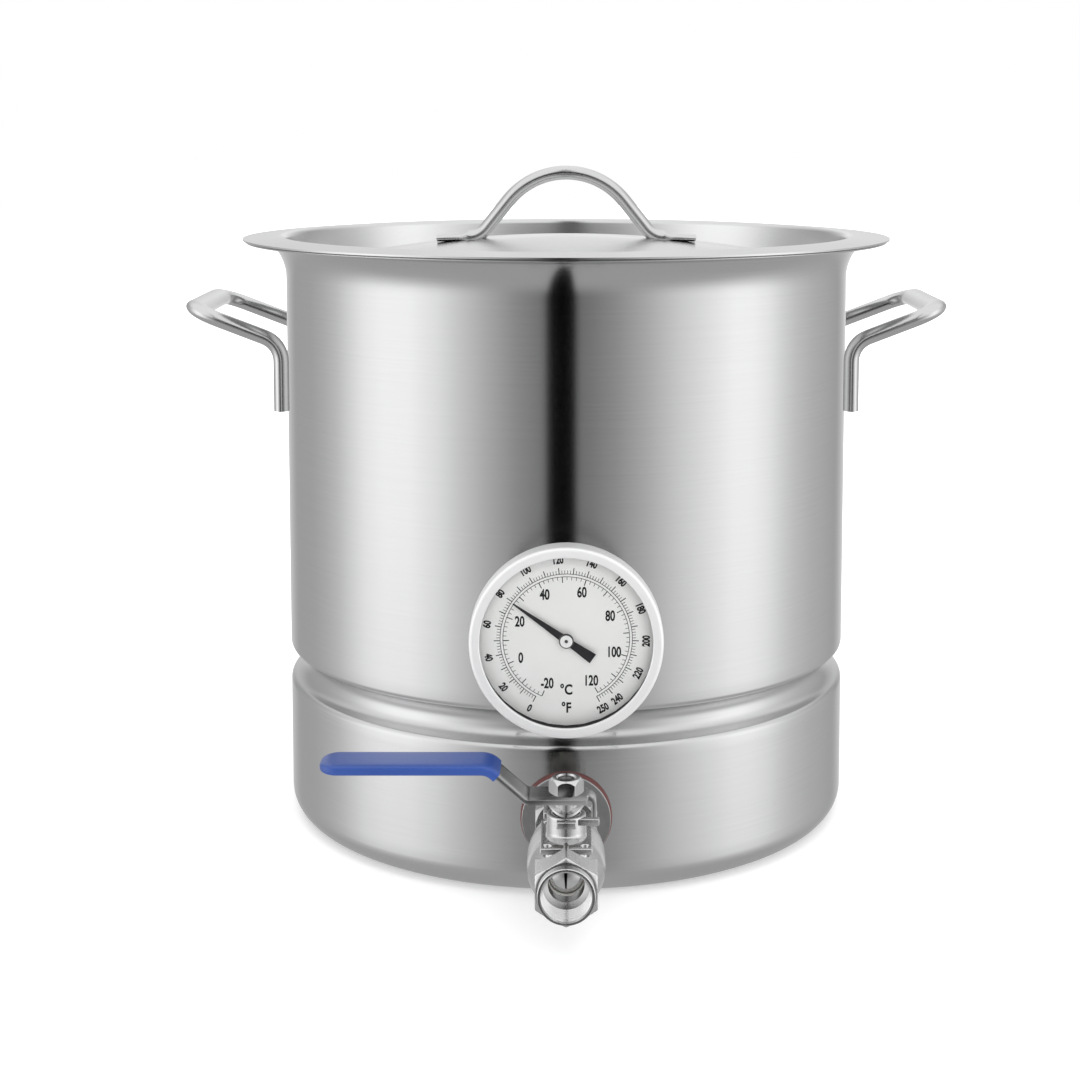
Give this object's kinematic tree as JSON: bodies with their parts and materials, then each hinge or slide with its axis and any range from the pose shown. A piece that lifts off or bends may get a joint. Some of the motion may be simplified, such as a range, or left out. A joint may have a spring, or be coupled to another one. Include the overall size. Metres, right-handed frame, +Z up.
{
  "type": "brew_kettle",
  "caption": "Stainless steel brew kettle with recessed lid, welded side handles, beaded wall, dial thermometer and lever ball valve with a blue sleeve.",
  "frame": {"origin": "centre of the flat round base, on its underside", "axes": "+Z up, -Y the front with the thermometer and the valve, +X to the right as seen from the front, with a side handle on each of +X and -X"},
  "size_m": [0.3724, 0.394, 0.3238],
  "materials": {
    "brushed_steel": "brushed",
    "cast_steel": "bead-blasted casting",
    "polished_steel": "polished",
    "silicone": "matt translucent",
    "ptfe": "waxy",
    "blue_vinyl": "dipped, semi-gloss",
    "dial_paint": "matt print",
    "pointer_paint": "matt",
    "black_rubber": "matt",
    "clear_glass": "clear"
  },
  "bodies": {
    "kettle": {"kettle_shell": "brushed_steel", "handle_right": "brushed_steel", "handle_left": "brushed_steel", "dial_bezel": "brushed_steel", "port_nipple": "cast_steel", "valve_body": "cast_steel", "valve_end_cap": "cast_steel", "dial_fitting": "cast_steel", "bimetal_coil": "cast_steel", "port_washer_outer": "polished_steel", "port_locknut": "polished_steel", "pickup_nut": "polished_steel", "pickup_tube": "polished_steel", "packing_nut": "polished_steel", "dial_washer_outer": "polished_steel", "dial_locknut": "polished_steel", "probe_tube": "polished_steel", "dial_case": "polished_steel", "port_gasket_outer": "silicone", "port_gasket_inner": "silicone", "dial_gasket_outer": "silicone", "dial_gasket_inner": "silicone", "valve_body_gasket": "ptfe", "valve_seat_front": "ptfe", "valve_seat_rear": "ptfe", "thrust_washer": "ptfe", "stem_packing": "ptfe", "dial_plate": "dial_paint", "glass_gasket": "black_rubber", "dial_glass": "clear_glass"},
    "lid": {"lid_pan": "brushed_steel", "lid_handle": "brushed_steel"},
    "valve_lever": {"valve_ball": "polished_steel", "valve_stem": "polished_steel", "spring_washer": "polished_steel", "lever_strip": "brushed_steel", "lever_grip": "blue_vinyl", "lever_nut": "polished_steel"},
    "pointer": {"pointer": "pointer_paint", "pointer_cap": "polished_steel", "pointer_spindle": "polished_steel"},
    "false_bottom": {"false_bottom_plate": "brushed_steel", "false_bottom_handle": "polished_steel"}
  },
  "joints": [
    {"name": "lid_lift", "type": "slide", "parent": "kettle", "child": "lid", "axis": [0, 0, 1], "range_m": [0, 0.2]},
    {"name": "lever_turn", "type": "hinge", "parent": "kettle", "child": "valve_lever", "pos_m": [0, -0.2, 0.038], "axis": [0, 0, 1], "range_deg": [0, 90]},
    {"name": "pointer_turn", "type": "hinge", "parent": "kettle", "child": "pointer", "pos_m": [0, -0.163, 0.124], "axis": [0, 1, 0], "range_deg": [-97.6, 207.4], "stiffness_Nm_per_rad": 0.002},
    {"name": "false_bottom_lift", "type": "slide", "parent": "kettle", "child": "false_bottom", "axis": [0, 0, 1], "range_m": [0, 0.018]}
  ]
}
